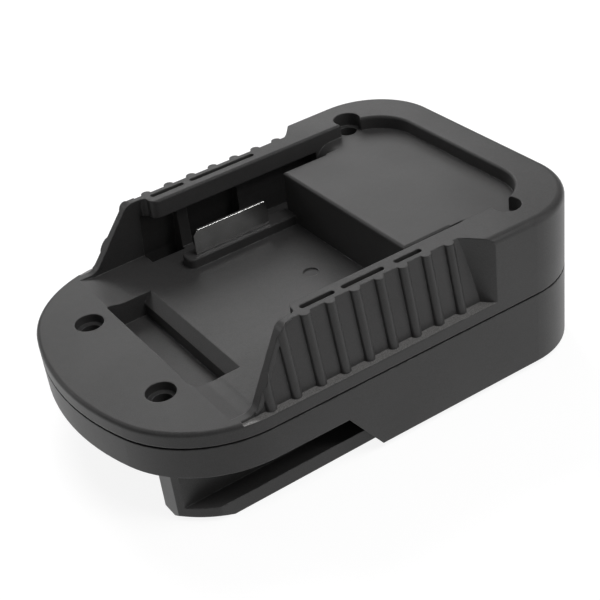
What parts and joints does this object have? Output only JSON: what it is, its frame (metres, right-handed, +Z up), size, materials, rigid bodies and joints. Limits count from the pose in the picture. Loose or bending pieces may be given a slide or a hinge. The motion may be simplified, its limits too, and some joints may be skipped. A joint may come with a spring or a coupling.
{
  "type": "tool battery adapter",
  "caption": "Black moulded adapter: a battery slides into the railed receiver on top, and the flanged tongue below slides into a cordless tool, held by a sprung latch.",
  "frame": {"origin": "middle of the outline seen from above, on the flat underside that it rests on", "axes": "X along the slide, with the open nose at -X and the release button at +X; Y across; Z up, from the tongue to the receiver"},
  "size_m": [0.109, 0.0736, 0.0364],
  "materials": {
    "shell_plastic": "fine spark texture",
    "terminal_plastic": "smooth",
    "latch_plastic": "smooth",
    "button_plastic": "satin",
    "contact_metal": "tin plated",
    "clip_metal": "tin plated",
    "screw_steel": "black oxide",
    "spring_steel": "bright wire",
    "resistor_body": "lacquered",
    "red_insulation": "smooth",
    "black_insulation": "smooth"
  },
  "bodies": {
    "housing": {"upper_shell": "shell_plastic", "lower_shell": "shell_plastic", "front_housing_screws": "screw_steel", "rear_housing_screws": "screw_steel", "tool_terminal_block": "terminal_plastic", "near_tool_clip": "clip_metal", "signal_tool_clip": "clip_metal", "far_tool_clip": "clip_metal", "signal_resistor": "resistor_body", "near_power_lead": "black_insulation", "far_power_lead": "red_insulation", "near_battery_contact": "contact_metal", "far_battery_contact": "contact_metal", "near_contact_carrier": "terminal_plastic", "far_contact_carrier": "terminal_plastic", "latch_keeper": "latch_plastic", "latch_keeper_screws": "screw_steel", "near_latch_spring": "spring_steel", "far_latch_spring": "spring_steel"},
    "latch": {"latch_slider": "latch_plastic", "release_button": "button_plastic"}
  },
  "joints": [
    {"name": "latch_slide", "type": "slide", "parent": "housing", "child": "latch", "axis": [0, 0, 1], "range_m": [0, 0.0036], "stiffness_N_per_m": 900, "springref_m": -0.003, "deforming": ["near_latch_spring", "far_latch_spring"]}
  ]
}
